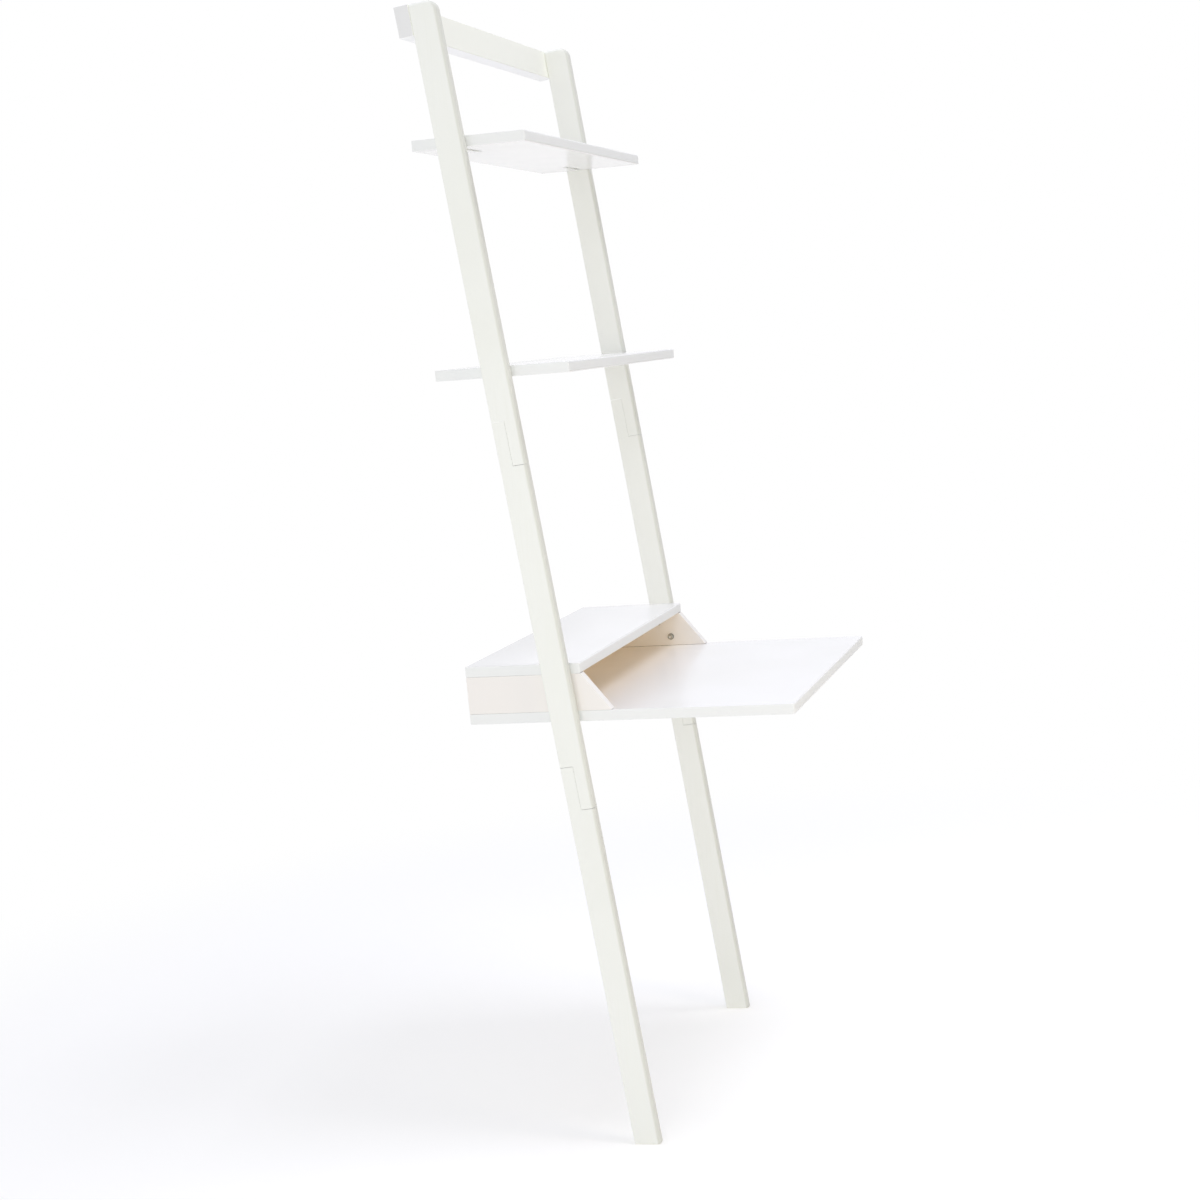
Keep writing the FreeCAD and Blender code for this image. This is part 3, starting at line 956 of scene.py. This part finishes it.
@dataclass(frozen=True)
class Viewpoint:
    """A camera given by where it stands, the point that it looks at, and its lens."""

    position: Triple = (-3.4969, -0.9809, 1.3840)
    aim: Triple = (0.0, -0.1738, 0.8153)
    roll_degrees: float = -4.4489
    lens_mm: float = 60.318
    sensor_mm: float = 36.0
    shift: Pair = (-0.14167, 0.03333)
    clip: Pair = (0.05, 50.0)

    def place(self) -> bpy.types.Object:
        """Create the camera and make it the scene's.

        Returns:
            The camera object.
        """
        ahead = (Vector(self.aim) - Vector(self.position)).normalized()
        level = ahead.cross(Vector((0.0, 0.0, 1.0))).normalized()
        above = level.cross(ahead)
        roll = math.radians(self.roll_degrees)
        right = level * math.cos(roll) + above * math.sin(roll)
        up = above * math.cos(roll) - level * math.sin(roll)
        lens = bpy.data.cameras.new("camera")
        lens.lens = self.lens_mm
        lens.sensor_width = self.sensor_mm
        lens.sensor_fit = "HORIZONTAL"
        lens.shift_x, lens.shift_y = self.shift
        lens.clip_start, lens.clip_end = self.clip
        camera = bpy.data.objects.new("camera", lens)
        turn = Matrix((right, up, -ahead)).transposed().to_4x4()
        camera.matrix_world = Matrix.Translation(self.position) @ turn
        bpy.context.scene.collection.objects.link(camera)
        bpy.context.scene.camera = camera
        return camera


@dataclass(frozen=True)
class Lamp:
    """A square soft box."""

    name: str
    position: Triple
    aim: Triple
    side: float
    watts: float
    colour: str

    def place(self) -> bpy.types.Object:
        """Create the lamp.

        Returns:
            The lamp object.
        """
        light = bpy.data.lights.new(self.name, "AREA")
        light.shape = "SQUARE"
        light.size = self.side
        light.energy = self.watts
        light.color = linear_from_hex(self.colour)[:3]
        lamp = bpy.data.objects.new(self.name, light)
        ahead = Vector(self.aim) - Vector(self.position)
        turn = ahead.to_track_quat("-Z", "Y").to_matrix().to_4x4()
        lamp.matrix_world = Matrix.Translation(self.position) @ turn
        lamp.visible_camera = False
        lamp.visible_glossy = False
        bpy.context.scene.collection.objects.link(lamp)
        LOG.info("placed lamp %s", self.name)
        return lamp


@dataclass(frozen=True)
class Studio:
    """A white floor, a white surround that lights with a slight tint for each direction, and soft boxes."""

    floor_radius: float = 2.6
    floor_rings: int = 13
    floor_spokes: int = 64
    floor_colour: str = "#F8F7F4"
    floor_roughness: float = 0.9
    floor_lift: float = 0.14  # white added for the camera, so that only the shadow falls below white
    fade_span: Pair = (1.3, 2.4)  # how far from the middle the floor begins to turn white, and is all white
    bounces: int = 12  # a white box needs more bounces than usual before its inside is as light as it is
    surround: tuple[tuple[str, float], ...] = (
        ("#FFFFFF", 0.76),  # from the right
        ("#FFFFFC", 1.01),  # from the left
        ("#FFFFFF", 0.66),  # from behind
        ("#FFFAF2", 0.06),  # from the front
        ("#EEF1FF", 0.98),  # from above
        ("#E9ECFF", 1.60),  # from below, past the floor's edge
    )
    lamps: tuple[Lamp, ...] = (
        Lamp(
            name="overhead_box",
            position=(0.0, -1.64, 4.8),
            aim=(0.0, -0.1, 0.76),
            side=1.8,
            watts=60.5,
            colour="#F2F4FF",
        ),
        Lamp(
            name="left_box",
            position=(-1.95, -0.1, 1.1),
            aim=(-0.35, 0.1, 1.1),
            side=0.7,
            watts=3.3,
            colour="#FFFFFF",
        ),
        Lamp(
            name="front_card",
            position=(-0.95, -2.2, 0.92),
            aim=(0.0, 0.1, 0.79),
            side=0.7,
            watts=9.0,
            colour="#FFEED4",
        ),
    )

    def build(self) -> None:
        """Lay the floor, make the surround, place the lamps and set how light is shown and bounced."""
        self.build_floor()
        self.build_surround()
        for lamp in self.lamps:
            lamp.place()
        scene = bpy.context.scene
        scene.view_settings.view_transform = "Standard"
        scene.cycles.diffuse_bounces = self.bounces
        scene.cycles.max_bounces = 2 * self.bounces

    def build_floor(self) -> bpy.types.Object:
        """Lay the floor: a disc, radius times cosine and sine of the angle over rings that widen outwards.

        Returns:
            The floor, staged.
        """
        radii = np.linspace(0.0, 1.0, self.floor_rings)[:, None] ** 2 * self.floor_radius
        angles = np.linspace(0.0, 2.0 * np.pi, self.floor_spokes, endpoint=False)[None, :]
        level = np.zeros_like(radii * angles)
        points = np.stack([radii * np.cos(angles), radii * np.sin(angles), level], axis=2)
        floor = mesh_from_rings("floor", points)
        floor.data.materials.append(self.floor_material())
        return floor

    def seen_share(self, tree: bpy.types.NodeTree) -> bpy.types.NodeSocket:
        """Tell rays that show a surface, straight, mirrored or through glass, from rays that only light.

        Args:
            tree: Node tree that gets the nodes.

        Returns:
            A socket that is 1 for a ray that shows the surface, otherwise 0.
        """
        rays = add_node(tree, "ShaderNodeLightPath").outputs
        seen = rays["Is Camera Ray"]
        for kind in ("Is Glossy Ray", "Is Transmission Ray"):
            either = add_node(tree, "ShaderNodeMath", {"operation": "MAXIMUM"}, {0: seen, 1: rays[kind]})
            seen = either.outputs[0]
        return seen

    def floor_material(self) -> bpy.types.Material:
        """Make the floor's paint: matt near-white that keeps shadows and fades into the white surround.

        Returns:
            The floor's material.
        """
        material, tree, surface = start_material("matt_white_floor_paint")
        output = next(node for node in tree.nodes if node.type == "OUTPUT_MATERIAL")
        surface.inputs["Base Color"].default_value = linear_from_hex(self.floor_colour)
        surface.inputs["Roughness"].default_value = self.floor_roughness
        surface.inputs["Specular IOR Level"].default_value = 0.0
        seen = self.seen_share(tree)
        lift = add_node(tree, "ShaderNodeMath", {"operation": "MULTIPLY"}, {0: seen, 1: self.floor_lift})
        glow = add_node(
            tree,
            "ShaderNodeEmission",
            inputs={"Color": WHITE, "Strength": lift.outputs[0]},
        )
        near = add_node(tree, "ShaderNodeAddShader", inputs={0: surface.outputs[0], 1: glow.outputs[0]})
        far = add_node(tree, "ShaderNodeEmission", inputs={"Color": WHITE, "Strength": 1.0})
        place = add_node(tree, "ShaderNodeTexCoord").outputs["Object"]
        distance = add_node(tree, "ShaderNodeVectorMath", {"operation": "LENGTH"}, {0: place})
        fade = add_node(
            tree,
            "ShaderNodeMapRange",
            {"interpolation_type": "SMOOTHSTEP"},
            {
                "Value": distance.outputs["Value"],
                "From Min": self.fade_span[0],
                "From Max": self.fade_span[1],
            },
        ).outputs["Result"]
        share = add_node(tree, "ShaderNodeMath", {"operation": "MULTIPLY"}, {0: fade, 1: seen})
        mixed = add_node(
            tree,
            "ShaderNodeMixShader",
            inputs={0: share.outputs[0], 1: near.outputs[0], 2: far.outputs[0]},
        )
        tree.links.new(mixed.outputs[0], output.inputs["Surface"])
        return material

    def build_surround(self) -> bpy.types.World:
        """Make the surround.

        The light from a direction is the sum over the three axes of the direction's squared share of the
        axis, times the light of the end of the axis that it points to. The camera and reflections see white.

        Returns:
            The scene's new world.
        """
        world = bpy.data.worlds.new("white_surround")
        world.use_nodes = True
        tree = world.node_tree
        tree.nodes.clear()
        ray = add_node(tree, "ShaderNodeTexCoord").outputs["Generated"]
        squares = add_node(tree, "ShaderNodeVectorMath", {"operation": "MULTIPLY"}, {0: ray, 1: ray})
        parts = add_node(tree, "ShaderNodeSeparateXYZ", inputs={0: ray}).outputs
        shares = add_node(tree, "ShaderNodeSeparateXYZ", inputs={0: squares.outputs[0]}).outputs
        lights = [[level * part for part in linear_from_hex(tint)[:3]] for tint, level in self.surround]
        total: Value = (0.0, 0.0, 0.0)
        for part, share, ahead, behind in zip(parts, shares, lights[::2], lights[1::2]):
            side = add_node(tree, "ShaderNodeMath", {"operation": "GREATER_THAN"}, {0: part, 1: 0.0})
            tint = add_node(
                tree,
                "ShaderNodeMix",
                {"data_type": "VECTOR"},
                {"Factor": side.outputs[0], VECTOR_A: behind, VECTOR_B: ahead},
            ).outputs[VECTOR_OUT]
            term = add_node(tree, "ShaderNodeVectorMath", {"operation": "SCALE"}, {0: tint, "Scale": share})
            total = add_node(
                tree,
                "ShaderNodeVectorMath",
                {"operation": "ADD"},
                {0: total, 1: term.outputs[0]},
            ).outputs[0]
        light = add_node(tree, "ShaderNodeBackground", inputs={"Color": total, "Strength": 1.0})
        plain = add_node(tree, "ShaderNodeBackground", inputs={"Color": WHITE, "Strength": 1.0})
        mixed = add_node(
            tree,
            "ShaderNodeMixShader",
            inputs={0: self.seen_share(tree), 1: light.outputs[0], 2: plain.outputs[0]},
        )
        add_node(tree, "ShaderNodeOutputWorld", inputs={"Surface": mixed.outputs[0]})
        bpy.context.scene.world = world
        return world


def main() -> None:
    """Load the frame, set the camera and the studio, and dress every sub-assembly."""
    logging.basicConfig(level=logging.INFO, format="%(name)s: %(message)s")
    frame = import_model()
    Viewpoint().place()
    Studio().build()
    finishes = make_finishes()
    for kind in (Rails, Boards, Fittings):
        kind(frame["nodes"], finishes).build()


if __name__ == "__main__":
    main()
